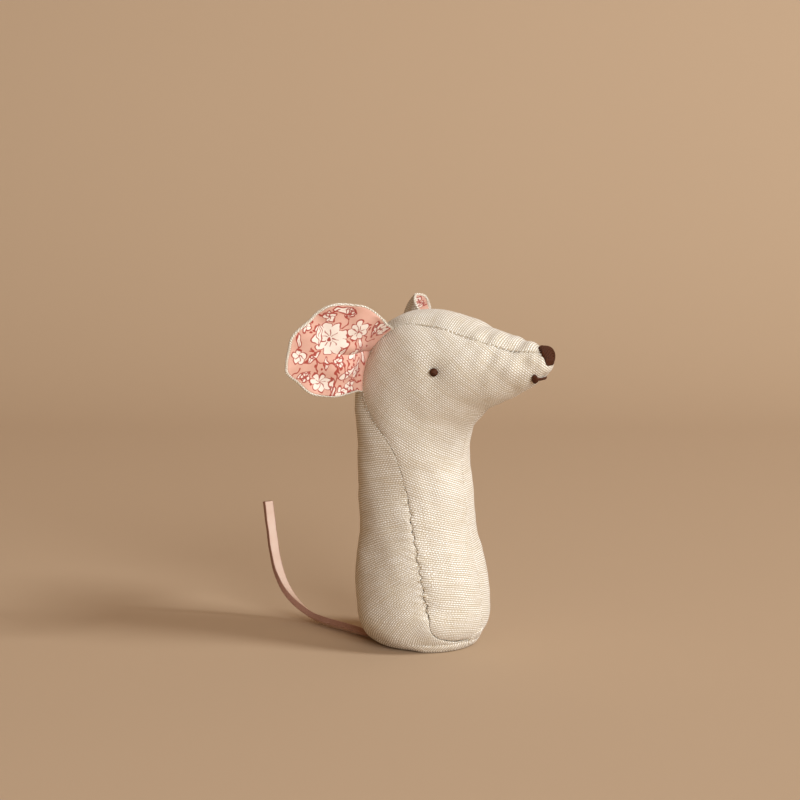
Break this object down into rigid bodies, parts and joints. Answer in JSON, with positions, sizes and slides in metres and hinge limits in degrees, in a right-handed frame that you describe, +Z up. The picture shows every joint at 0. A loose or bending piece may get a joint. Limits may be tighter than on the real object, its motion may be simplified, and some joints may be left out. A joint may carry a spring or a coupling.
{
  "type": "stuffed toy mouse rattle",
  "caption": "Stuffed linen mouse rattle that stands on its base, with lined print ears, a leather lace tail, an embroidered face and a bead capsule inside.",
  "frame": {"origin": "centre of the flat base on the surface it stands on", "axes": "+X towards the snout, +Y to the mouse's left, +Z up"},
  "size_m": [0.1196, 0.0802, 0.1191],
  "materials": {
    "linen_cloth": "undyed plain-weave linen, washed",
    "printed_cotton": "fine cotton lawn with a small flower print, matt",
    "brown_thread": "dark brown embroidery floss",
    "linen_thread": "sewing thread, matched to the linen",
    "leather_lace": "undyed lace leather, matt with fibrous cut edges",
    "fibre_filling": "white fibre filling",
    "rattle_plastic": "moulded white plastic",
    "bead_steel": "tumbled steel balls"
  },
  "bodies": {
    "body": {"right_side_panel": "linen_cloth", "left_side_panel": "linen_cloth", "back_gusset": "linen_cloth", "nose": "brown_thread", "mouth": "brown_thread", "right_eye": "brown_thread", "left_eye": "brown_thread", "right_seam_thread": "linen_thread", "left_seam_thread": "linen_thread", "front_seam_thread": "linen_thread", "base_seam_thread": "linen_thread", "closing_stitches": "linen_thread", "tail_root": "leather_lace", "head_stuffing": "fibre_filling", "body_stuffing": "fibre_filling", "rattle_cup": "rattle_plastic", "rattle_cap": "rattle_plastic"},
    "right_ear": {"right_ear_back": "linen_cloth", "right_ear_front": "printed_cotton"},
    "left_ear": {"left_ear_back": "linen_cloth", "left_ear_front": "printed_cotton"},
    "tail_base": {"tail_base": "leather_lace"},
    "tail_tip": {"tail_tip": "leather_lace"},
    "bead_1": {"rattle_bead_1": "bead_steel"},
    "bead_2": {"rattle_bead_2": "bead_steel"},
    "bead_3": {"rattle_bead_3": "bead_steel"},
    "bead_4": {"rattle_bead_4": "bead_steel"}
  },
  "joints": [
    {"name": "right_ear_flap", "type": "hinge", "parent": "body", "child": "right_ear", "pos_m": [-0.01429, -0.01404, 0.09876], "axis": [0.3157, 0.1807, 0.9315], "range_deg": [-35, 12], "stiffness_Nm_per_rad": 0.004},
    {"name": "left_ear_flap", "type": "hinge", "parent": "body", "child": "left_ear", "pos_m": [-0.01429, 0.01404, 0.09876], "axis": [-0.3157, 0.1807, -0.9315], "range_deg": [-35, 12], "stiffness_Nm_per_rad": 0.004},
    {"name": "tail_swing", "type": "hinge", "parent": "body", "child": "tail_base", "pos_m": [-0.0215, -0.006, 0.00135], "axis": [0, 0, 1], "range_deg": [-30, 30], "stiffness_Nm_per_rad": 0.004},
    {"name": "tail_curl", "type": "hinge", "parent": "tail_base", "child": "tail_tip", "pos_m": [-0.044, 0.00074, 0.0017], "axis": [0.2863, 0.9581, 0], "range_deg": [0, 40], "stiffness_Nm_per_rad": 0.004},
    {"name": "bead_1_hop", "type": "slide", "parent": "body", "child": "bead_1", "axis": [0, 0, 1], "range_m": [0, 0.0088]},
    {"name": "bead_2_hop", "type": "slide", "parent": "body", "child": "bead_2", "axis": [0, 0, 1], "range_m": [0, 0.0088]},
    {"name": "bead_3_hop", "type": "slide", "parent": "body", "child": "bead_3", "axis": [0, 0, 1], "range_m": [0, 0.0088]},
    {"name": "bead_4_hop", "type": "slide", "parent": "body", "child": "bead_4", "axis": [0, 0, 1], "range_m": [0, 0.0088]}
  ]
}
